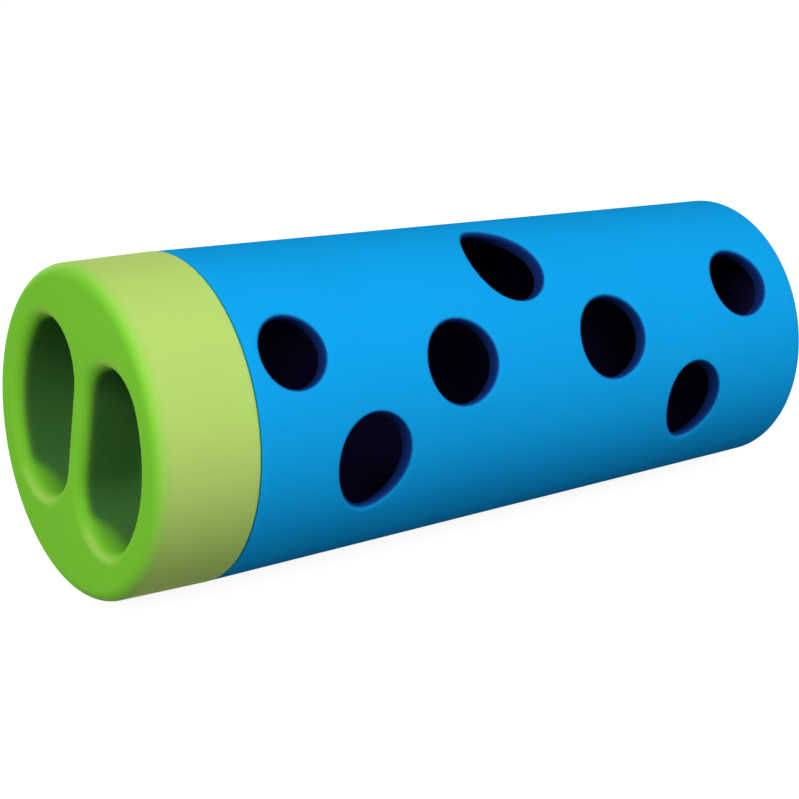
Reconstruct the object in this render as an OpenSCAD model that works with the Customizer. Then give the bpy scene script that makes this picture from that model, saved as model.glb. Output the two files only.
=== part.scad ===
// Treat dispensing roll: a tapered tube with treat holes, closed by a screw cap with a pinch grip.
// Millimetres. The roll lies on the floor, z = 0, with its cap towards -X.

/* [Cap] */
// Outer diameter of the cap
cap_d = 60; // [57:0.5:80]
// Length of the cap from its front face to the end of its skirt
cap_l = 20.2; // [18.4:0.1:28]
// Radius of the rounded edge round the front face
cap_edge_r = 2.4; // [1.5:0.1:4]
// Radius of the rounded edge at the end of the skirt
cap_back_r = 0.6; // [0.3:0.1:0.9]
// Thickness of the skirt outside the thread
skirt_t = 1.5; // [1.3:0.1:2.5]
// Distance from the front face to the bottom of the groove for the neck
groove_x = 5.2; // [4.6:0.1:6.5]

/* [Pinch grip] */
// Depth of each finger pocket
pocket_depth = 15; // [11:0.1:15.5]
// Thickness of the wall round the pockets
pocket_wall = 2.4; // [2.2:0.1:4]
// Radius of the pockets' corners at the pinch bar
pocket_corner_r = 9; // [7.5:0.1:9.6]
// Thickness of the pockets' floor
pocket_floor = 2.4; // [1.6:0.1:2.8]
// Radius between the pockets' wall and floor
pocket_floor_r = 3; // [1:0.1:4]
// Width of the pinch bar between the pockets
bar_w = 5.2; // [4.6:0.1:7]
// Radius of the soft lip round each pocket
lip_r = 2.5; // [0.8:0.1:2.6]
// Lean of the pinch bar from upright, in degrees
bar_lean = 10; // [-45:1:45]

/* [Tube] */
// Length of the tube from its shoulder to the closed end
tube_l = 129.5; // [123:0.1:170]
// How far the cap stands proud of the tube
cap_step = 0.05; // [0:0.05:0.6]
// Taper of the tube's outside, in degrees
tube_draft = 1.6; // [0.6:0.05:1.8]
// Thickness of the tube's wall
wall = 2.8; // [2.4:0.1:3.4]
// Thickness of the closed end
end_wall = 3.2; // [2:0.1:6]
// Radius of the rounded edge round the closed end
end_edge_r = 1.6; // [0.6:0.1:2.4]

/* [Neck and thread] */
// Thickness of the neck's wall under the thread
neck_t = 1.4; // [1.2:0.1:1.8]
// Length of the inside slope from the neck to the tube's bore
neck_run = 2; // [1:0.1:2.4]
// Height of the thread ridges
thread_h = 0.9; // [0.7:0.05:1.1]
// Advance of the cap in one turn
thread_lead = 12; // [10:0.5:14]
// Clearance over the crests of the thread
thread_gap = 0.3; // [0.25:0.05:0.5]
// Clearance between the neck and the pockets' wall
boss_gap = 0.6; // [0.4:0.05:1]

/* [Seal ring] */
// Thickness of the seal ring
seal_t = 1.6; // [1.2:0.1:2]
// Play of the seal ring in its groove
seal_gap = 0.3; // [0.2:0.05:0.4]
// Gap at the seam between the cap and the tube
seam_gap = 0.3; // [0.2:0.05:0.6]

/* [Treat holes] */
// Direction in which the holes are cut, in degrees above the horizontal
pull_angle = 21.8; // [-45:0.1:90]
// Distance from the shoulder to the middle of the hole pattern
pattern_x = 62.2; // [62:0.1:90]
// Diameter of the holes beside the middle and near the cap
hole_d = 15.1; // [12:0.1:17]
// Diameter of the high hole in the middle
high_hole_d = 14.4; // [12:0.1:16]
// Diameter of the holes at the two ends of the pattern
small_hole_d = 12.8; // [10:0.1:13.6]
// Distance of the inner holes from the middle
inner_x = 17.9; // [16:0.1:20]
// Distance of the low holes from the middle
low_x = 38.3; // [37:0.1:40]
// Distance of the end holes from the middle
end_x = 53; // [52:0.1:53.4]
// How far the high hole sits above the middle line
high_s = 16.6; // [15:0.1:17.4]
// How far the low holes sit below the middle line
low_s = 13.9; // [12.6:0.1:15]
// How far the end holes sit above the middle line
end_s = 6.3; // [5:0.1:7.6]

/* [Hidden] */
$fn = 96;
thread_starts = 2;
arc_steps = 5;
seal_rest = 0.05;
embed = 0.4;
over = 1;

cap_r = cap_d / 2;
skirt_r = cap_r - skirt_t;
neck_crest_r = skirt_r - thread_gap;
neck_r = neck_crest_r - thread_h;
neck_bore_r = neck_r - neck_t;
boss_r = neck_bore_r - boss_gap;
boss_x = pocket_depth + pocket_floor;

shoulder_x = cap_l + seam_gap;
far_x = shoulder_x + tube_l;
rim_x = groove_x + seal_t + 2 * seal_rest;
tube_r = cap_r - cap_step;
end_r = tube_r - tube_l * tan(tube_draft);
bore_r = tube_r - wall;
bore_end_x = far_x - end_wall;
bore_end_r = bore_r - (bore_end_x - shoulder_x) * tan(tube_draft);
neck_back_x = shoulder_x + neck_run;

pitch = thread_lead / thread_starts;
ridge_w = 0.56 * pitch;
crest_w = ridge_w - 1.5 * thread_h;
ridge_step = 10;
neck_first_x = rim_x + ridge_w / 2 + 0.5;
neck_last_x = shoulder_x - ridge_w / 2 - 0.5;
cap_first_x = rim_x + ridge_w / 2 + 0.6;
cap_last_x = cap_l - ridge_w / 2 - 0.6;

pocket_r = boss_r - pocket_wall;
corner_share = 0.98;
corner_r = min(pocket_corner_r, corner_share * (pocket_r - bar_w / 2) / 2);
corner_y = bar_w / 2 + corner_r;
corner_z = sqrt(pow(pocket_r - corner_r, 2) - pow(corner_y, 2));
fan = atan2(corner_z, corner_y);

// The tilt at which the skirt's edge and the closed end's edge both touch the floor
back_run = far_x - end_edge_r - (cap_l - cap_back_r);
back_rise = (cap_r - cap_back_r) - (end_r - end_edge_r);
tilt = atan2(back_rise, back_run)
    + asin((cap_back_r - end_edge_r) / norm([back_run, back_rise]));
front_reach = cap_edge_r * (1 - cos(tilt)) + (cap_r - cap_edge_r) * sin(tilt);
far_reach = (far_x - end_edge_r) * cos(tilt) + (end_r - end_edge_r) * sin(tilt) + end_edge_r;
mid_x = (far_reach - front_reach) / 2;
axis_z = (cap_l - cap_back_r) * sin(tilt) + (cap_r - cap_back_r) * cos(tilt) + cap_back_r;

blue = [0.0, 0.42, 0.75];
green = [0.45, 0.71, 0.2];
grey = [0.16, 0.17, 0.18];

// Lays a piece built along X, with the cap's front face at x = 0, down on the floor
module lie() {
    translate([-mid_x, 0, axis_z]) rotate([0, tilt, 0]) children();
}

// Turns an outline of [radius, distance from the front face] about the roll's axis
module turned() {
    rotate([0, 90, 0]) rotate_extrude() children();
}

// Points of a quarter round from direction a to a + 90 degrees
function quarter(c, r, a) = [for (i = [0:arc_steps])
    [c[0] + r * cos(a + 90 * i / arc_steps), c[1] + r * sin(a + 90 * i / arc_steps)]];

// Faces of a skin over rings of n points, closed at both ends
function skin_faces(rings, n) = concat(
    [[for (j = [0:n - 1]) j]],
    [for (i = [0:rings - 2]) for (j = [0:n - 1])
        [i * n + j, (i + 1) * n + j, (i + 1) * n + (j + 1) % n, i * n + (j + 1) % n]],
    [[for (j = [0:n - 1]) rings * n - 1 - j]]);

// One right-hand thread ridge from x = x0 to x1, standing h out of a wall at radius r (h < 0: inwards)
module ridge(x0, x1, phase, r, h) {
    side = sign(h);
    span = (x1 - x0) / thread_lead * 360;
    count = ceil(span / ridge_step);
    points = [for (i = [0:count])
        let (a = span * i / count,
             x = x0 + thread_lead * a / 360,
             rise = min(1, i / 2, (count - i) / 2),
             crest = r + side * ((abs(h) + 0.1) * rise - 0.1),
             root = r - side * embed)
        each [for (p = [[-ridge_w / 2 - embed, root], [-crest_w / 2, crest],
                        [crest_w / 2, crest], [ridge_w / 2 + embed, root]])
            [x + p[0], p[1] * cos(a + phase), p[1] * sin(a + phase)]]];
    order = [for (f = skin_faces(count + 1, 4)) side < 0 ? f : [for (k = [3:-1:0]) f[k]]];
    polyhedron(points, order);
}

// All starts of a thread whose ridges pass x = 0 at the given phase
module thread(x0, x1, lag, r, h) {
    for (s = [0:thread_starts - 1])
        ridge(x0, x1, 360 * s / thread_starts + (x0 - lag) / thread_lead * 360, r, h);
}

// Outline of a finger pocket, d outside its wall
function pocket_line(d) = concat(
    [for (i = [0:12]) let (a = 180 + (180 - fan) * i / 12)
        [corner_y + (corner_r + d) * cos(a), -corner_z + (corner_r + d) * sin(a)]],
    [for (i = [1:5]) let (a = -fan + 2 * fan * i / 6)
        [(pocket_r + d) * cos(a), (pocket_r + d) * sin(a)]],
    [for (i = [0:12]) let (a = fan + (180 - fan) * i / 12)
        [corner_y + (corner_r + d) * cos(a), corner_z + (corner_r + d) * sin(a)]]);

// The space of a finger pocket, from outside the front face to its rounded floor
module pocket() {
    lips = [for (i = [1:arc_steps]) let (a = 90 * i / arc_steps)
        [lip_r * (1 - cos(a)), lip_r * (1 - sin(a))]];
    floors = [for (i = [0:arc_steps]) let (a = 90 * i / arc_steps)
        [pocket_depth - pocket_floor_r * (1 - sin(a)), -pocket_floor_r * (1 - cos(a))]];
    layers = concat([[-0.5, lip_r + 0.5]], lips, floors);
    count = len(pocket_line(0));
    points = [for (l = layers) each [for (p = pocket_line(l[1])) [l[0], p[0], p[1]]]];
    polyhedron(points, skin_faces(len(layers), count));
}

module tube_hole(x, s, d) {
    translate([x, s, 0]) cylinder(d = d, h = cap_r + over);
}

// The treat holes, all cut in one direction
module holes() {
    middle = shoulder_x + pattern_x;
    tube_hole(middle, high_s, high_hole_d);
    tube_hole(middle - inner_x, 0, hole_d);
    tube_hole(middle + inner_x, 0, hole_d);
    tube_hole(middle - low_x, -low_s, hole_d);
    tube_hole(middle + low_x, -low_s, small_hole_d);
    tube_hole(middle - end_x, end_s, small_hole_d);
    tube_hole(middle + end_x, end_s, small_hole_d);
}

module tube() {
    outline = concat(
        [[0, far_x], [0, bore_end_x], [bore_end_r, bore_end_x], [bore_r - neck_run * tan(tube_draft), neck_back_x],
         [neck_bore_r, shoulder_x], [neck_bore_r, rim_x], [neck_r, rim_x], [neck_r, shoulder_x],
         [tube_r, shoulder_x]],
        quarter([end_r - end_edge_r, far_x - end_edge_r], end_edge_r, 0));
    color(blue) lie() {
        difference() {
            turned() polygon(outline);
            rotate([90 - pull_angle, 0, 0]) holes();
        }
        thread(neck_first_x, neck_last_x, 0, neck_r, thread_h);
    }
}

module cap() {
    front = quarter([cap_r - cap_edge_r, cap_edge_r], cap_edge_r, -90);
    back = quarter([cap_r - cap_back_r, cap_l - cap_back_r], cap_back_r, 0);
    outline = concat(
        [[0, boss_x], [0, 0]], front, back,
        [[skirt_r, cap_l], [skirt_r, groove_x], [boss_r, groove_x], [boss_r, boss_x]]);
    color(green) lie() {
        difference() {
            turned() polygon(outline);
            for (turn = [0, 180]) rotate([turn + bar_lean, 0, 0]) pocket();
        }
        thread(cap_first_x, cap_last_x, pitch / 2, skirt_r, -thread_h);
    }
}

module seal_ring() {
    outline = [[boss_r + seal_gap, groove_x + seal_rest], [skirt_r - seal_gap, groove_x + seal_rest],
               [skirt_r - seal_gap, rim_x - seal_rest], [boss_r + seal_gap, rim_x - seal_rest]];
    color(grey) lie() turned() polygon(outline);
}

tube();
cap();
seal_ring();
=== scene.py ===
"""Treat dispensing roll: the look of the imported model. Sizes in millimetres repeat the part's source."""
import math

import bmesh
import bpy
from mathutils import Matrix, Vector
from mathutils.geometry import delaunay_2d_cdt


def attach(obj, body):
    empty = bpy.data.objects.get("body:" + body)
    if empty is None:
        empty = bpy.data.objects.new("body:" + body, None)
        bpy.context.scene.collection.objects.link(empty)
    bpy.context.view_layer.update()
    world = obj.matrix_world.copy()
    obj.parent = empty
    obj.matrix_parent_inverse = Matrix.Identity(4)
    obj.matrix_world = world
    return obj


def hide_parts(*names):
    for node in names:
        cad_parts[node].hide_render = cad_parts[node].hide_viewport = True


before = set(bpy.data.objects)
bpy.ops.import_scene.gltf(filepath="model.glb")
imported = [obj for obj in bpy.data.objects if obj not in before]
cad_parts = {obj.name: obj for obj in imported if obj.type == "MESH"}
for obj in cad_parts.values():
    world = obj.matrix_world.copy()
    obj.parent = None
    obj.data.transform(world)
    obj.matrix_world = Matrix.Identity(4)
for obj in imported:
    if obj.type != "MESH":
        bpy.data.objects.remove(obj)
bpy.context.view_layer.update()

MM = 0.001

# Mesh clean-up: edges sharper than this many degrees stay sharp; the other values are distances
SHARP = 35
WELD_M = 2e-7
SLIVER_M = 1e-8
SHEET_EPS = 1e-6

# Sizes of the cap
CAP_R = 30.0
CAP_L = 20.2
CAP_EDGE_R = 2.4
CAP_BACK_R = 0.6
SKIRT_T = 1.5
SKIRT_R = CAP_R - SKIRT_T
GROOVE_X = 5.2
THREAD_GAP = 0.3
THREAD_H = 0.9
NECK_T = 1.4
NECK_R = SKIRT_R - THREAD_GAP - THREAD_H
NECK_BORE_R = NECK_R - NECK_T
BOSS_GAP = 0.6
BOSS_R = NECK_BORE_R - BOSS_GAP
POCKET_DEPTH = 15.0
POCKET_WALL = 2.4
POCKET_R = BOSS_R - POCKET_WALL
POCKET_CORNER_R = 9.0
POCKET_FLOOR = 2.4
POCKET_FLOOR_R = 3.0
BOSS_X = POCKET_DEPTH + POCKET_FLOOR
BAR_W = 5.2
LIP_R = 2.5
BAR_LEAN = math.radians(10)

# Small rounds of the cap, and narrow flats that keep the shading beside a round even
FACE_FLAT = 0.4
BACK_FLAT = 0.5
SKIRT_LIP_R = 0.25
GROOVE_R = 0.5
BOSS_ROOT = 0.2
BOSS_EDGE_R = 0.8
BOSS_DISC_R = 3.0
CAP_STEPS = 160
EDGE_STEPS = 14

# Painted highlight on the cap's side: a paler lit tone, which starts and is full at these distances from
# the face, measured over its edge
SIDE_TONE_FROM = 0.8
SIDE_TONE_TO = 4.8
SIDE_RUNS = (0.4, 0.8, 1.3, 2.0)

# Steps of a pocket's mesh; its flat ring is narrow, so that the two pockets' rings stay apart on the bar
LIP_FLAT = 0.05
LIP_STEPS = 12
WALL_LAYERS = (3.2, 4.0, 5.0, 6.0, 7.0, 8.5, 10.0)
FLOOR_STEPS = 8
CORNER_STEPS = 24
ROUND_SIDE_STEPS = 14
BAR_SIDE_STEPS = 10

# Painted highlight on the lip at a pocket's ends: its strength, the share of the lip's round that it
# takes up, and where the ends start, as a share of the pocket's half length
LIP_HIGHLIGHT = 0.5
LIP_HIGHLIGHT_TO = 0.75
LIP_HIGHLIGHT_FROM = 0.8

# Painted shade: depths between which a pocket's wall is painted dark, what its ends add to them, and where
# these ends start
DARK_FROM = 1.1
DARK_TO = 3.0
END_LATER = 1.2
END_LONGER = 4.0
END_FROM = 0.8

# Sizes of the tube, its neck and its thread
SEAM_GAP = 0.3
SHOULDER_X = CAP_L + SEAM_GAP
TUBE_L = 129.5
FAR_X = SHOULDER_X + TUBE_L
CAP_STEP = 0.05
TUBE_R = CAP_R - CAP_STEP
DRAFT = math.radians(1.6)
WALL = 2.8
END_WALL = 3.2
END_EDGE_R = 1.6
END_R = TUBE_R - TUBE_L * math.tan(DRAFT)
BORE_R = TUBE_R - WALL
BORE_END_X = FAR_X - END_WALL
SEAL_T = 1.6
SEAL_REST = 0.05
RIM_X = GROOVE_X + SEAL_T + 2 * SEAL_REST
THREAD_LEAD = 12.0
PITCH = THREAD_LEAD / 2
RIDGE_W = 0.56 * PITCH
CREST_W = RIDGE_W - 1.5 * THREAD_H

# Small rounds of the tube, and the mark on its closed end as depths and radii
END_FLAT = 0.3
END_MARK = [(0, 4.5), (0, 4.2), (0.12, 3.9), (0.35, 3.4), (0.35, 1.3), (0.3, 1.0), (0.1, 0.8), (0.1, 0.3)]
BORE_CORNER_R = 2.5
BORE_DISC_R = 4.0
NECK_ROOT_R = 0.5
RIM_OUTER_R = 0.4
RIM_INNER_R = 0.3
MOUTH_X = RIM_X + 4.0

# Thread ridges: step round the axis, steps of the run-in, depth below the wall, and the crest's small bevel
RIDGE_STEP = math.radians(4)
RUN_IN_STEPS = 5
RUN_IN_SINK = 0.1
ROOT_SINK = 0.4
BEVEL_RUN = 0.15
BEVEL_DROP = 0.2
NECK_RUN_OUT = 0.5
SKIRT_RUN_OUT = 0.6

# The shoulder's skin stands a little proud of its solid, so that the seam reads as a tight one
SEAM_SKIN = 0.18
SHOULDER_SKIN_X = SHOULDER_X - SEAM_SKIN
SHOULDER_EDGE_R = 0.15

# The seal ring's distance from the groove's walls, its edge round and its steps
SEAL_GAP = 0.3
SEAL_EDGE_R = 0.3
SEAL_STEPS = 128

# Dispensing holes: distance from the front face, offset across the cut, diameter
PULL = math.radians(21.8)
PATTERN_X = SHOULDER_X + 62.2
INNER_X = 17.9
LOW_X = 38.3
END_X = 53.0
HIGH_S = 16.6
LOW_S = -13.9
END_S = 6.3
HOLE_D = 15.1
HIGH_HOLE_D = 14.4
SMALL_HOLE_D = 12.8
HOLES = [
    (PATTERN_X, HIGH_S, HIGH_HOLE_D),
    (PATTERN_X - INNER_X, 0.0, HOLE_D),
    (PATTERN_X + INNER_X, 0.0, HOLE_D),
    (PATTERN_X - LOW_X, LOW_S, HOLE_D),
    (PATTERN_X + LOW_X, LOW_S, SMALL_HOLE_D),
    (PATTERN_X - END_X, END_S, SMALL_HOLE_D),
    (PATTERN_X + END_X, END_S, SMALL_HOLE_D),
]

# Rims of the holes: the round outside and inside, and the mesh's steps round and over them
HOLE_LIP_R = 0.8
HOLE_INNER_R = 0.3
HOLE_POINTS = 120
RIM_STEPS = 8

# Painted shade in a hole: where its navy painted shade starts and is full on the outer round, how dark
# the painted shade on its wall starts, and how far a painted highlight makes the inner round lighter again
HOLE_TONE_FROM = 0.1
HOLE_TONE_TO = 0.55
WALL_DEEP = 0.5
INNER_EDGE_TONE = 0.4
INNER_EDGE_LIGHT = 0.8

# How the roll lies: the skirt's edge and the closed end's edge both touch the floor
BACK_RUN = FAR_X - END_EDGE_R - (CAP_L - CAP_BACK_R)
BACK_RISE = (CAP_R - CAP_BACK_R) - (END_R - END_EDGE_R)
BACK_SLANT = math.asin((CAP_BACK_R - END_EDGE_R) / math.hypot(BACK_RUN, BACK_RISE))
TILT = math.atan2(BACK_RISE, BACK_RUN) + BACK_SLANT
TILT_C = math.cos(TILT)
TILT_S = math.sin(TILT)
FRONT_REACH = CAP_EDGE_R * (1 - TILT_C) + (CAP_R - CAP_EDGE_R) * TILT_S
FAR_REACH = (FAR_X - END_EDGE_R) * TILT_C + (END_R - END_EDGE_R) * TILT_S + END_EDGE_R
MID_X = (FAR_REACH - FRONT_REACH) / 2
AXIS_Z = (CAP_L - CAP_BACK_R) * TILT_S + (CAP_R - CAP_BACK_R) * TILT_C + CAP_BACK_R
LAID = Matrix.Translation((-MID_X * MM, 0, AXIS_Z * MM))
LIE = LAID @ Matrix.Rotation(TILT, 4, "Y") @ Matrix.Scale(MM, 4)

# The tube's skin has a near panel with the holes, this far round to each side, and a plain back
PANEL = math.radians(80)
NEAR_STEPS = 80
FAR_STEPS = 50
PANEL_ROWS = 66
NEAR_TURNS = [-PANEL + 2 * PANEL * i / NEAR_STEPS for i in range(NEAR_STEPS + 1)]
FAR_TURNS = [PANEL + (2 * math.pi - 2 * PANEL) * i / FAR_STEPS for i in range(FAR_STEPS + 1)]
ALL_TURNS = NEAR_TURNS + FAR_TURNS[1:-1]

# The near panel's points keep this distance from a rim, and only points this near to a hole are tested
RIM_CLEAR = 0.7
HOLE_REACH = 26


def full_turn(steps):
    return [2 * math.pi * i / steps for i in range(steps)]


def on_axis(x, r, turn):
    """A point at distance x from the front face and radius r; turn is counted from the holes' direction."""
    angle = turn + PULL
    return Vector((x, -r * math.cos(angle), r * math.sin(angle)))


def arc(c_x, c_r, r, start, end, steps=4):
    """Outline points [x, radius] on a round, angles in degrees from +x towards larger radius."""
    points = []
    for i in range(steps + 1):
        a = math.radians(start + (end - start) * i / steps)
        points.append((c_x + r * math.cos(a), c_r + r * math.sin(a)))
    return points


def eased(low, high, value):
    """0 below low, 1 above high, and a smooth step between."""
    share = min(max((value - low) / (high - low), 0.0), 1.0)
    return share * share * (3 - 2 * share)


def per_point(mark, count):
    """Marks for each point of some rings, from one number, or from a number or a list for each ring."""
    if not isinstance(mark, list):
        return mark
    full = []
    for value in mark:
        full.extend(value if isinstance(value, list) else [value] * count)
    return full


def inside(p, loop):
    """True if a flat point lies in a closed loop of flat points."""
    odd = False
    for a, b in zip(loop, loop[1:] + loop[:1]):
        if (a[1] > p[1]) != (b[1] > p[1]):
            if p[0] < a[0] + (p[1] - a[1]) / (b[1] - a[1]) * (b[0] - a[0]):
                odd = not odd
    return odd


def closed_edges(first, count):
    """The edges of a closed loop of points that are numbered from first on."""
    return [(first + i, first + (i + 1) % count) for i in range(count)]


class Skin:
    """Points and faces of one piece, in the roll's own millimetres."""

    def __init__(self):
        self.points = []
        self.faces = []
        # Marks for each point: light and shade painted into the colour, and shade painted dark
        self.marks = {"painted_light_and_shade": [], "painted_shade": []}

    def add(self, points, faces, painted_light_and_shade=0.0, painted_shade=0.0):
        """Points and faces, with one mark for all the points or a list of marks."""
        base = len(self.points)
        self.points.extend(points)
        self.faces.extend([[base + i for i in face] for face in faces])
        for name, mark in (("painted_light_and_shade", painted_light_and_shade), ("painted_shade", painted_shade)):
            self.marks[name].extend(mark if isinstance(mark, list) else [mark] * len(points))

    def rings(self, rings, painted_light_and_shade=0.0, painted_shade=0.0):
        """A closed strip of quads between each ring of points and the next; a list marks ring by ring."""
        n = len(rings[0])
        points = [p for ring in rings for p in ring]
        faces = []
        for i in range(len(rings) - 1):
            for j in range(n):
                k = (j + 1) % n
                faces.append((i * n + j, i * n + k, (i + 1) * n + k, (i + 1) * n + j))
        self.add(points, faces, per_point(painted_light_and_shade, n), per_point(painted_shade, n))

    def turned(self, outline, turns, painted_light_and_shade=0.0, painted_shade=0.0):
        """An outline of (x, radius) turned about the roll's axis."""
        self.rings([[on_axis(x, r, t) for t in turns] for x, r in outline], painted_light_and_shade, painted_shade)

    def polygon(self, points, painted_shade=0.0):
        """One flat face."""
        self.add(points, [list(range(len(points)))], 0.0, painted_shade)

    def disc(self, x, r, turns, painted_shade=0.0):
        """A flat disc across the roll's axis."""
        self.polygon([on_axis(x, r, t) for t in turns], painted_shade)

    def sheet(self, flat, edges, loops, lift, painted_shade=0.0):
        """A triangulated sheet over flat points, without the inside of each loop; lift makes 3-D points."""
        made = delaunay_2d_cdt(flat, edges, [], 0, SHEET_EPS)
        keep = []
        for face in made[2]:
            middle = sum((made[0][i] for i in face), Vector((0, 0))) / len(face)
            if not any(inside(middle, loop) for loop in loops):
                keep.append(list(face))
        self.add([lift(p) for p in made[0]], keep, 0.0, painted_shade)

    def piece(self, name, material, body, node):
        """The finished Blender object, welded, smooth, and standing for its CAD node."""
        mesh = bpy.data.meshes.new(name)
        mesh.from_pydata([LIE @ p for p in self.points], [], self.faces)
        for mark, values in self.marks.items():
            mesh.attributes.new(mark, "FLOAT", "POINT").data.foreach_set("value", values)
        shape = bmesh.new()
        shape.from_mesh(mesh)
        bmesh.ops.remove_doubles(shape, verts=shape.verts, dist=WELD_M)
        bmesh.ops.dissolve_degenerate(shape, edges=shape.edges, dist=SLIVER_M)
        bmesh.ops.recalc_face_normals(shape, faces=shape.faces)
        loose = [v for v in shape.verts if not v.link_faces]
        bmesh.ops.delete(shape, geom=loose, context="VERTS")
        shape.to_mesh(mesh)
        shape.free()
        mesh.shade_smooth()
        mesh.set_sharp_from_angle(angle=math.radians(SHARP))
        mesh.materials.append(material)
        made = bpy.data.objects.new(name, mesh)
        bpy.context.scene.collection.objects.link(made)
        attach(made, body)
        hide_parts(node)


def ridge(skin, x0, x1, phase, r, height):
    """One right-hand thread ridge from x0 to x1 on a wall at radius r; a height below 0 stands inwards."""
    side = 1 if height > 0 else -1
    span = (x1 - x0) / THREAD_LEAD * 2 * math.pi
    count = math.ceil(span / RIDGE_STEP)
    rings = []
    for i in range(count + 1):
        a = span * i / count
        x = x0 + THREAD_LEAD * a / (2 * math.pi)
        rise = eased(0, RUN_IN_STEPS, min(i, count - i))
        crest = side * ((abs(height) + RUN_IN_SINK) * rise - RUN_IN_SINK)
        half = [
            (CREST_W / 2 - BEVEL_RUN, crest),
            (CREST_W / 2 + BEVEL_RUN, crest - side * BEVEL_DROP * rise),
            (RIDGE_W / 2 + ROOT_SINK, -side * ROOT_SINK),
        ]
        outline = [(-dx, dr) for dx, dr in reversed(half)] + half
        c = math.cos(a + phase)
        s = math.sin(a + phase)
        rings.append([Vector((x + dx, (r + dr) * c, (r + dr) * s)) for dx, dr in outline])
    skin.rings(rings)
    skin.polygon(rings[0])
    skin.polygon(rings[-1])


def thread(skin, x0, x1, lag, r, height):
    """The thread's two ridges, half a turn apart; lag shifts both along the roll."""
    for start in (0, math.pi):
        ridge(skin, x0, x1, start + (x0 - lag) / THREAD_LEAD * 2 * math.pi, r, height)


def outer_r(x):
    """The tube's outer radius, which reaches END_R where the end's round begins."""
    return TUBE_R - (x - SHOULDER_X) * (TUBE_R - END_R) / (TUBE_L - END_EDGE_R)


def bore_at(x):
    """The radius of the tube's bore."""
    return BORE_R - (x - SHOULDER_X) * math.tan(DRAFT)


def hole_rings(x, s, d):
    """Rings down one hole, in the holes' own directions: outer round, straight wall, inner round."""
    rounds = ((HOLE_LIP_R, outer_r, 1), (HOLE_INNER_R, bore_at, -1))
    rings = [[] for _ in range(2 * (RIM_STEPS + 1))]
    for i in range(HOLE_POINTS):
        a = 2 * math.pi * i / HOLE_POINTS
        to_axis = Vector((-math.cos(a), -math.sin(a), 0))
        for part, (round_r, shell, out) in enumerate(rounds):
            c_x = x + (d / 2 + round_r) * math.cos(a)
            c_s = s + (d / 2 + round_r) * math.sin(a)
            c_r = shell(c_x) - out * round_r
            depth = math.sqrt(c_r * c_r - c_s * c_s)
            normal = Vector((0, c_s, depth)).normalized() * out
            turn = normal.angle(to_axis)
            for k in range(RIM_STEPS + 1):
                share = k / RIM_STEPS if part == 0 else 1 - k / RIM_STEPS
                w0 = math.sin((1 - share) * turn) / math.sin(turn)
                w1 = math.sin(share * turn) / math.sin(turn)
                p = Vector((c_x, c_s, depth)) + round_r * (w0 * normal + w1 * to_axis)
                rings[part * (RIM_STEPS + 1) + k].append(p)
    return rings


def from_cut(p):
    """A point in the holes' own directions (along the roll, across the cut, along the cut) on the roll."""
    c = math.cos(PULL)
    s = math.sin(PULL)
    return Vector((p.x, p.y * s - p.z * c, p.y * c + p.z * s))


def turn_of(p):
    """The turn at which a point in the holes' own directions lies."""
    return math.atan2(p.y, p.z)


def free_of(p, middle, rim):
    """True if a flat point is outside a rim and at least a little away from it."""
    if (p - middle).length > HOLE_REACH:
        return True
    return not inside(p, rim) and min((p - q).length for q in rim) > RIM_CLEAR


def pierced(skin, x0, x1, shell, loops, painted_shade=0.0):
    """One surface of the tube's wall from x0 to x1: a plain back, and a near panel without the holes."""
    xs = [x0 + (x1 - x0) * i / PANEL_ROWS for i in range(PANEL_ROWS + 1)]
    back = [on_axis(x, shell(x), t) for x in xs for t in FAR_TURNS]
    n = len(FAR_TURNS)
    faces = [(i * n + j, i * n + j + 1, (i + 1) * n + j + 1, (i + 1) * n + j)
             for i in range(PANEL_ROWS) for j in range(n - 1)]
    skin.add(back, faces, 0.0, painted_shade)
    flat = [Vector((x, t * TUBE_R)) for x in xs for t in (NEAR_TURNS[0], NEAR_TURNS[-1])]
    flat += [Vector((x, t * TUBE_R)) for t in NEAR_TURNS[1:-1] for x in (xs[0], xs[-1])]
    rims = [[Vector((p.x, turn_of(p) * TUBE_R)) for p in loop] for loop in loops]
    middles = [Vector((sum(p.x for p in rim), sum(p.y for p in rim))) / len(rim) for rim in rims]
    for x in xs[1:-1]:
        for t in NEAR_TURNS[1:-1]:
            p = Vector((x, t * TUBE_R))
            if all(free_of(p, middle, rim) for middle, rim in zip(middles, rims)):
                flat.append(p)
    edges = []
    for rim in rims:
        edges += closed_edges(len(flat), len(rim))
        flat += rim
    skin.sheet(flat, edges, rims, lambda p: on_axis(p.x, shell(p.x), p.y / TUBE_R), painted_shade)


def hole_walls(skin, holes):
    """The holes' walls from the outer surface to the bore, painted navy and dark as shade, with a painted
    highlight on the inner edge.
    """
    shares = [k / RIM_STEPS for k in range(RIM_STEPS + 1)]
    painted_light_and_shade = [eased(HOLE_TONE_FROM, HOLE_TONE_TO, share) for share in shares]
    painted_shade = [0.0 for _ in shares]
    for share in shares:
        edge = math.sin(math.pi * share)
        painted_light_and_shade.append(1 - INNER_EDGE_TONE * edge)
        painted_shade.append((WALL_DEEP + (1 - WALL_DEEP) * share) * (1 - INNER_EDGE_LIGHT * edge))
    for rings in holes:
        first = [on_axis(p.x, outer_r(p.x), turn_of(p)) for p in rings[0]]
        last = [on_axis(p.x, bore_at(p.x), turn_of(p)) for p in rings[-1]]
        wall = [first] + [[from_cut(p) for p in ring] for ring in rings[1:-1]] + [last]
        skin.rings(wall, painted_light_and_shade, painted_shade)


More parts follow.
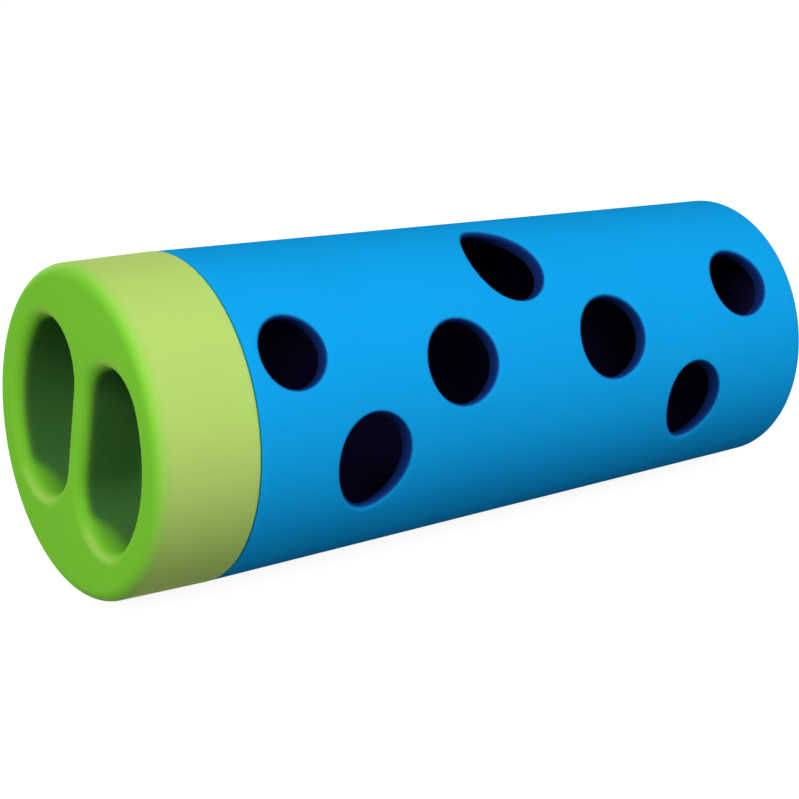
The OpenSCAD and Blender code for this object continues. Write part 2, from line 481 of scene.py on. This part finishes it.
def closed_end(skin, x1):
    """The tube's closed end outside, from its edge's round to the mark in the middle."""
    outline = [(x1, outer_r(x1))] + arc(x1, END_R - END_EDGE_R, END_EDGE_R, 90, 0, 8)[1:]
    outline += [(FAR_X, END_R - END_EDGE_R - END_FLAT)]
    outline += [(FAR_X - depth, r) for depth, r in END_MARK]
    skin.turned(outline, ALL_TURNS)
    skin.disc(*outline[-1], ALL_TURNS)


def bore_end(skin, x1):
    """The closed end inside the bore, painted dark as painted shade."""
    r = bore_at(x1)
    outline = [(x1, r)] + arc(x1, r - BORE_CORNER_R, BORE_CORNER_R, 90, 0, 6)[1:]
    outline += [(BORE_END_X, BORE_DISC_R)]
    skin.turned(outline, ALL_TURNS, 0.0, 1.0)
    skin.disc(BORE_END_X, BORE_DISC_R, ALL_TURNS, 1.0)


def neck(skin, x0):
    """The tube's shoulder, its neck and the mouth of its bore, with the thread."""
    outline = [(x0, outer_r(x0))]
    outline += arc(x0, outer_r(x0) - SHOULDER_EDGE_R, SHOULDER_EDGE_R, 90, 180)[1:]
    outline += [(SHOULDER_SKIN_X, NECK_R + NECK_ROOT_R)]
    outline += arc(SHOULDER_SKIN_X - NECK_ROOT_R, NECK_R + NECK_ROOT_R, NECK_ROOT_R, 0, -90)[1:]
    outline += [(RIM_X + RIM_OUTER_R, NECK_R)]
    outline += arc(RIM_X + RIM_OUTER_R, NECK_R - RIM_OUTER_R, RIM_OUTER_R, 90, 180)[1:]
    outline += [(RIM_X, NECK_BORE_R + RIM_INNER_R)]
    outline += arc(RIM_X + RIM_INNER_R, NECK_BORE_R + RIM_INNER_R, RIM_INNER_R, 180, 270)[1:]
    mouth = [(MOUTH_X, NECK_BORE_R), (SHOULDER_X, NECK_BORE_R), (x0, bore_at(x0))]
    # The mouth of the bore is painted dark: painted shade
    skin.turned(outline + mouth, ALL_TURNS, 0.0, [0.0] * len(outline) + [1.0] * len(mouth))
    first = RIM_X + RIDGE_W / 2 + NECK_RUN_OUT
    last = SHOULDER_X - RIDGE_W / 2 - NECK_RUN_OUT
    thread(skin, first, last, 0, NECK_R, THREAD_H)


def make_tube(material):
    skin = Skin()
    x0 = SHOULDER_SKIN_X + SHOULDER_EDGE_R
    x1 = FAR_X - END_EDGE_R
    bore_x1 = BORE_END_X - BORE_CORNER_R
    holes = [hole_rings(*hole) for hole in HOLES]
    pierced(skin, x0, x1, outer_r, [rings[0] for rings in holes])
    # The bore's wall is painted dark: painted shade inside the tube
    pierced(skin, x0, bore_x1, bore_at, [rings[-1] for rings in holes], 1.0)
    hole_walls(skin, holes)
    closed_end(skin, x1)
    bore_end(skin, bore_x1)
    neck(skin, x0)
    skin.piece("tube_shell", material, "roll", "tube")


CORNER_Y = BAR_W / 2 + POCKET_CORNER_R
CORNER_Z = math.sqrt((POCKET_R - POCKET_CORNER_R) ** 2 - CORNER_Y ** 2)
FAN = math.atan2(CORNER_Z, CORNER_Y)


def pocket_line(d):
    """Flat outline (y, z) of a finger pocket beside an upright bar, d outside its wall."""
    corner = POCKET_CORNER_R + d
    points = []
    for i in range(CORNER_STEPS + 1):
        a = math.pi + (math.pi - FAN) * i / CORNER_STEPS
        points.append(Vector((CORNER_Y + corner * math.cos(a), -CORNER_Z + corner * math.sin(a))))
    for i in range(1, ROUND_SIDE_STEPS):
        a = -FAN + 2 * FAN * i / ROUND_SIDE_STEPS
        points.append(Vector(((POCKET_R + d) * math.cos(a), (POCKET_R + d) * math.sin(a))))
    for i in range(CORNER_STEPS + 1):
        a = FAN + (math.pi - FAN) * i / CORNER_STEPS
        points.append(Vector((CORNER_Y + corner * math.cos(a), CORNER_Z + corner * math.sin(a))))
    for i in range(1, BAR_SIDE_STEPS):
        points.append(Vector((BAR_W / 2 - d, CORNER_Z - 2 * CORNER_Z * i / BAR_SIDE_STEPS)))
    return points


def pocket_ends(start):
    """For each point of a pocket's outline: 0 along its sides, rising from start to 1 at its two ends."""
    return [eased(start, 1.0, abs(p.y) / (CORNER_Z + POCKET_CORNER_R)) for p in pocket_line(0)]


def pocket_painted_shade(x, end):
    """How dark the painted shade on a pocket's wall is at depth x; its two ends catch the light, so it
    starts further down there.
    """
    return eased(DARK_FROM + END_LATER * end, DARK_TO + END_LONGER * end, x)


def painted_lip_highlight(share):
    """How strong the painted highlight is at a share of the lip's round, from the face to the wall."""
    if not 0 < share < LIP_HIGHLIGHT_TO:
        return 0.0
    return LIP_HIGHLIGHT * math.sin(math.pi * share / LIP_HIGHLIGHT_TO) ** 2


def pocket(skin, lean):
    """One finger pocket, leaning with the bar; gives back its outline on the cap's face."""
    def on_face(x, p):
        c = math.cos(lean)
        s = math.sin(lean)
        return Vector((x, p.x * c - p.y * s, p.x * s + p.y * c))

    layers = [(0, LIP_R + LIP_FLAT)]
    for i in range(LIP_STEPS + 1):
        a = math.radians(90) * i / LIP_STEPS
        layers.append((LIP_R * (1 - math.cos(a)), LIP_R * (1 - math.sin(a))))
    layers += [(x, 0) for x in WALL_LAYERS]
    for i in range(FLOOR_STEPS + 1):
        a = math.radians(90) * i / FLOOR_STEPS
        depth = POCKET_DEPTH - POCKET_FLOOR_R * (1 - math.sin(a))
        layers.append((depth, -POCKET_FLOOR_R * (1 - math.cos(a))))
    rings = [[on_face(x, p) for p in pocket_line(d)] for x, d in layers]
    # The wall and floor of the pocket are painted dark: painted shade
    lit = pocket_ends(END_FROM)
    dark = [[pocket_painted_shade(x, end) for end in lit] for x, _ in layers]
    # The lips at a pocket's ends get a painted highlight in the paler tone
    highlight_ends = pocket_ends(LIP_HIGHLIGHT_FROM)
    lip_highlight = [[painted_lip_highlight(i / LIP_STEPS) * end for end in highlight_ends] for i in range(-1, len(layers) - 1)]
    skin.rings(rings, lip_highlight, dark)
    skin.polygon(rings[-1], 1.0)
    return [Vector((p.y, p.z)) for p in rings[0]]


def cap_body(skin, turns):
    """The cap's edge, side, skirt, groove and boss, turned in one outline from its face inwards."""
    flat_r = CAP_R - CAP_EDGE_R
    outline = [(0, flat_r - FACE_FLAT)] + arc(CAP_EDGE_R, flat_r, CAP_EDGE_R, 180, 90, EDGE_STEPS)
    edge_run = CAP_EDGE_R * math.pi / 2
    runs = [0.0] + [edge_run * i / EDGE_STEPS for i in range(EDGE_STEPS + 1)]
    for run in SIDE_RUNS:
        outline.append((CAP_EDGE_R + run, CAP_R))
        runs.append(edge_run + run)
    # The side and back take the paler tone: painted light, a lit copy of the green
    painted_light_and_shade = [eased(SIDE_TONE_FROM, SIDE_TONE_TO, run) for run in runs]
    outline += [(CAP_L - CAP_BACK_R - BACK_FLAT, CAP_R)]
    outline += arc(CAP_L - CAP_BACK_R, CAP_R - CAP_BACK_R, CAP_BACK_R, 90, 0, 5)
    painted_light_and_shade += [1.0] * (len(outline) - len(painted_light_and_shade))
    outline += [(CAP_L, SKIRT_R + SKIRT_LIP_R)]
    outline += arc(CAP_L - SKIRT_LIP_R, SKIRT_R + SKIRT_LIP_R, SKIRT_LIP_R, 0, -90, 3)[1:]
    outline += [(GROOVE_X + GROOVE_R, SKIRT_R)]
    outline += arc(GROOVE_X + GROOVE_R, SKIRT_R - GROOVE_R, GROOVE_R, 90, 180)[1:]
    outline += [(GROOVE_X, BOSS_R + BOSS_ROOT), (GROOVE_X + BOSS_ROOT, BOSS_R)]
    outline += [(BOSS_X - BOSS_EDGE_R, BOSS_R)]
    outline += arc(BOSS_X - BOSS_EDGE_R, BOSS_R - BOSS_EDGE_R, BOSS_EDGE_R, 90, 0)[1:]
    outline += [(BOSS_X, BOSS_DISC_R)]
    painted_light_and_shade += [0.0] * (len(outline) - len(painted_light_and_shade))
    skin.turned(outline, turns, painted_light_and_shade)
    skin.disc(BOSS_X, BOSS_DISC_R, turns)


def make_cap(material):
    skin = Skin()
    turns = full_turn(CAP_STEPS)
    cap_body(skin, turns)
    rim = [on_axis(0, CAP_R - CAP_EDGE_R - FACE_FLAT, t) for t in turns]
    flat = [Vector((p.y, p.z)) for p in rim]
    edges = closed_edges(0, len(flat))
    loops = [pocket(skin, BAR_LEAN), pocket(skin, BAR_LEAN + math.pi)]
    for loop in loops:
        edges += closed_edges(len(flat), len(loop))
        flat += loop
    skin.sheet(flat, edges, loops, lambda p: Vector((0, p.x, p.y)))
    first = RIM_X + RIDGE_W / 2 + SKIRT_RUN_OUT
    last = CAP_L - RIDGE_W / 2 - SKIRT_RUN_OUT
    thread(skin, first, last, PITCH / 2, SKIRT_R, -THREAD_H)
    skin.piece("cap_shell", material, "screw_cap", "cap")


def make_seal(material):
    skin = Skin()
    low = BOSS_R + SEAL_GAP + SEAL_EDGE_R
    high = SKIRT_R - SEAL_GAP - SEAL_EDGE_R
    x0 = GROOVE_X + SEAL_REST + SEAL_EDGE_R
    x1 = RIM_X - SEAL_REST - SEAL_EDGE_R
    outline = arc(x0, low, SEAL_EDGE_R, 180, 270) + arc(x1, low, SEAL_EDGE_R, 270, 360)
    outline += arc(x1, high, SEAL_EDGE_R, 0, 90) + arc(x0, high, SEAL_EDGE_R, 90, 180)
    outline.append(outline[0])
    skin.turned(outline, full_turn(SEAL_STEPS))
    skin.piece("seal_ring_shell", material, "seal", "seal_ring")


# Noise of the moulded surfaces as scale and detail, and how far each moves the surface's values
DRIFT_NOISE = (38, 3)
DRIFT = 0.05
ROUGH_NOISE = (420, 4)
ROUGH_SPREAD = 0.05
GRAIN_NOISE = (2600, 2)
GRAIN_DEPTH_M = 0.00006
WAVE_NOISE = (140, 2)
WAVE_STRENGTH = 0.25
WAVE_DEPTH_M = 0.0002


def moulded(name, face, painted_light_and_shade, painted_shade, rough, specular, tint, grain):
    """Satin moulded plastic: painted light and shade in two more tones where marked, slow colour drift and
    a fine eroded grain.
    """
    material = bpy.data.materials.new(name)
    material.use_nodes = True
    tree = material.node_tree
    shader = tree.nodes["Principled BSDF"]
    shader.inputs["Specular IOR Level"].default_value = specular
    shader.inputs["Specular Tint"].default_value = (*tint, 1)
    place = tree.nodes.new("ShaderNodeTexCoord")

    def noise(scale, detail):
        made = tree.nodes.new("ShaderNodeTexNoise")
        made.inputs["Scale"].default_value = scale
        made.inputs["Detail"].default_value = detail
        tree.links.new(place.outputs["Object"], made.inputs["Vector"])
        return made.outputs["Fac"]

    def spread(source, middle, reach):
        made = tree.nodes.new("ShaderNodeMapRange")
        made.inputs["To Min"].default_value = middle - reach
        made.inputs["To Max"].default_value = middle + reach
        tree.links.new(source, made.inputs["Value"])
        return made.outputs["Result"]

    def bump(height, strength, distance):
        made = tree.nodes.new("ShaderNodeBump")
        made.inputs["Strength"].default_value = strength
        made.inputs["Distance"].default_value = distance
        tree.links.new(height, made.inputs["Height"])
        return made

    def marked(mark, colour):
        """A mix towards a colour of painted light and shade, as far as a mark says."""
        made = tree.nodes.new("ShaderNodeMix")
        made.data_type = "RGBA"
        made.inputs["B"].default_value = (*colour, 1)
        source = tree.nodes.new("ShaderNodeAttribute")
        source.attribute_name = mark
        tree.links.new(source.outputs["Fac"], made.inputs["Factor"])
        return made

    light_and_shade_mix = marked("painted_light_and_shade", painted_light_and_shade)
    light_and_shade_mix.inputs["A"].default_value = (*face, 1)
    shade_mix = marked("painted_shade", painted_shade)
    tree.links.new(light_and_shade_mix.outputs["Result"], shade_mix.inputs["A"])
    drift = tree.nodes.new("ShaderNodeHueSaturation")
    tree.links.new(shade_mix.outputs["Result"], drift.inputs["Color"])
    tree.links.new(spread(noise(*DRIFT_NOISE), 1.0, DRIFT), drift.inputs["Value"])
    tree.links.new(drift.outputs["Color"], shader.inputs["Base Color"])
    tree.links.new(spread(noise(*ROUGH_NOISE), rough, ROUGH_SPREAD), shader.inputs["Roughness"])
    fine = bump(noise(*GRAIN_NOISE), grain, GRAIN_DEPTH_M)
    wave = bump(noise(*WAVE_NOISE), WAVE_STRENGTH, WAVE_DEPTH_M)
    tree.links.new(fine.outputs["Normal"], wave.inputs["Normal"])
    tree.links.new(wave.outputs["Normal"], shader.inputs["Normal"])
    return material


# Colours: face of each plastic, its tone of painted light and shade, its tone of painted shade, and the
# tint of its slight sheen
BLUE = (0.006, 0.375, 0.85)
PAINTED_SHADE_NAVY = (0.007, 0.035, 0.19)
PAINTED_SHADE_BLUE = (0.014, 0.011, 0.06)
BLUE_SHEEN = (0.1, 0.9, 1.0)
GREEN = (0.21, 0.63, 0.038)
PAINTED_LIGHT_GREEN = (0.49, 0.705, 0.165)
PAINTED_SHADE_GREEN = (0.07, 0.21, 0.05)
GREEN_SHEEN = (1.0, 0.85, 0.6)
GREY = (0.024, 0.026, 0.028)
WHITE = (1.0, 1.0, 1.0)
make_tube(moulded("moulded_blue", BLUE, PAINTED_SHADE_NAVY, PAINTED_SHADE_BLUE,
                  rough=0.5, specular=0.0, tint=BLUE_SHEEN, grain=0.35))
make_cap(moulded("moulded_green", GREEN, PAINTED_LIGHT_GREEN, PAINTED_SHADE_GREEN,
                 rough=0.5, specular=0.01, tint=GREEN_SHEEN, grain=0.4))
make_seal(moulded("dark_elastomer", GREY, GREY, GREY,
                  rough=0.6, specular=0.4, tint=WHITE, grain=0.5))

scene = bpy.context.scene
scene.view_settings.view_transform = "Standard"

# Camera at the photograph's view
EYE = Vector((-0.24764, -0.34701, 0.15842))
LOOK = Vector((-0.00477, 0.00101, 0.02399))
LENS_PX = 2315.5
PICTURE_PX = 799
SENSOR_MM = 36
camera = bpy.data.objects.new("camera", bpy.data.cameras.new("camera"))
camera.data.sensor_width = SENSOR_MM
camera.data.lens = LENS_PX / PICTURE_PX * SENSOR_MM
camera.location = EYE
camera.rotation_euler = (LOOK - EYE).to_track_quat("-Z", "Y").to_euler()
scene.collection.objects.link(camera)
scene.camera = camera

# White soft boxes, all at one distance from the roll's middle (m): name, turn, rise, size (m), power (W)
AIM = Vector((0, 0, 0.03))
LAMP_AWAY = 1.3
LIGHTS = [
    ("key", 20, 40, 0.7, 7.2),
    ("high_left", -60, 40, 0.7, 10.1),
    ("front", 0, 15, 0.9, 2.9),
    ("left", -97, 12, 0.7, 3.6),
    ("back", 180, 4, 0.6, 7.0),
    ("right", 100, 5, 0.7, 6.5),
]


def panel_light(name, turn, rise, size, power):
    """A square soft box aimed at the roll: turn from the front to the right, rise from the horizontal."""
    lamp = bpy.data.lights.new(name, "AREA")
    lamp.shape = "SQUARE"
    lamp.size = size
    lamp.energy = power
    made = bpy.data.objects.new(name, lamp)
    away = Vector((math.sin(turn) * math.cos(rise), -math.cos(turn) * math.cos(rise), math.sin(rise)))
    made.location = AIM + LAMP_AWAY * away
    made.rotation_euler = (-away).to_track_quat("-Z", "Y").to_euler()
    scene.collection.objects.link(made)


for name, turn, rise, size, power in LIGHTS:
    panel_light(name, math.radians(turn), math.radians(rise), size, power)


def shown_rays(tree):
    """1 on rays that show the surroundings: camera, glossy and transmission rays."""
    path = tree.nodes.new("ShaderNodeLightPath")
    first = tree.nodes.new("ShaderNodeMath")
    first.operation = "MAXIMUM"
    tree.links.new(path.outputs["Is Camera Ray"], first.inputs[0])
    tree.links.new(path.outputs["Is Transmission Ray"], first.inputs[1])
    both = tree.nodes.new("ShaderNodeMath")
    both.operation = "MAXIMUM"
    tree.links.new(first.outputs[0], both.inputs[0])
    tree.links.new(path.outputs["Is Glossy Ray"], both.inputs[1])
    return both.outputs[0]


# White surroundings for the camera, reflections and see-through rays, and a dimmer sky for the light
SKY = 0.03
world = bpy.data.worlds.new("studio")
scene.world = world
world.use_nodes = True
sky = world.node_tree
background = sky.nodes["Background"]
background.inputs["Color"].default_value = (*WHITE, 1)
level = sky.nodes.new("ShaderNodeMapRange")
level.inputs["To Min"].default_value = SKY
level.inputs["To Max"].default_value = 1.0
sky.links.new(shown_rays(sky), level.inputs["Value"])
sky.links.new(level.outputs["Result"], background.inputs["Strength"])

# Pale floor: mostly white to the camera, with the object's soft shadow on it
SPAN = 0.85
PAPER = (0.95, 0.95, 0.95)
PAPER_ROUGH = 0.9
PAPER_WHITE = 0.72
PAPER_GLOW = 1.28
floor_mesh = bpy.data.meshes.new("floor")
corners = [(-SPAN, -SPAN, 0), (SPAN, -SPAN, 0), (SPAN, SPAN, 0), (-SPAN, SPAN, 0)]
floor_mesh.from_pydata(corners, [], [(0, 1, 2, 3)])
floor = bpy.data.objects.new("floor", floor_mesh)
scene.collection.objects.link(floor)
paper = bpy.data.materials.new("paper")
paper.use_nodes = True
sheet = paper.node_tree
matt = sheet.nodes["Principled BSDF"]
matt.inputs["Base Color"].default_value = (*PAPER, 1)
matt.inputs["Roughness"].default_value = PAPER_ROUGH
matt.inputs["Specular IOR Level"].default_value = 0.0
glow = sheet.nodes.new("ShaderNodeEmission")
glow.inputs["Color"].default_value = (*WHITE, 1)
glow_level = sheet.nodes.new("ShaderNodeMapRange")
glow_level.inputs["To Max"].default_value = PAPER_GLOW
sheet.links.new(shown_rays(sheet), glow_level.inputs["Value"])
sheet.links.new(glow_level.outputs["Result"], glow.inputs["Strength"])
mixed = sheet.nodes.new("ShaderNodeMixShader")
mixed.inputs["Fac"].default_value = PAPER_WHITE
sheet.links.new(matt.outputs["BSDF"], mixed.inputs[1])
sheet.links.new(glow.outputs["Emission"], mixed.inputs[2])
sheet.links.new(mixed.outputs["Shader"], sheet.nodes["Material Output"].inputs["Surface"])
floor_mesh.materials.append(paper)
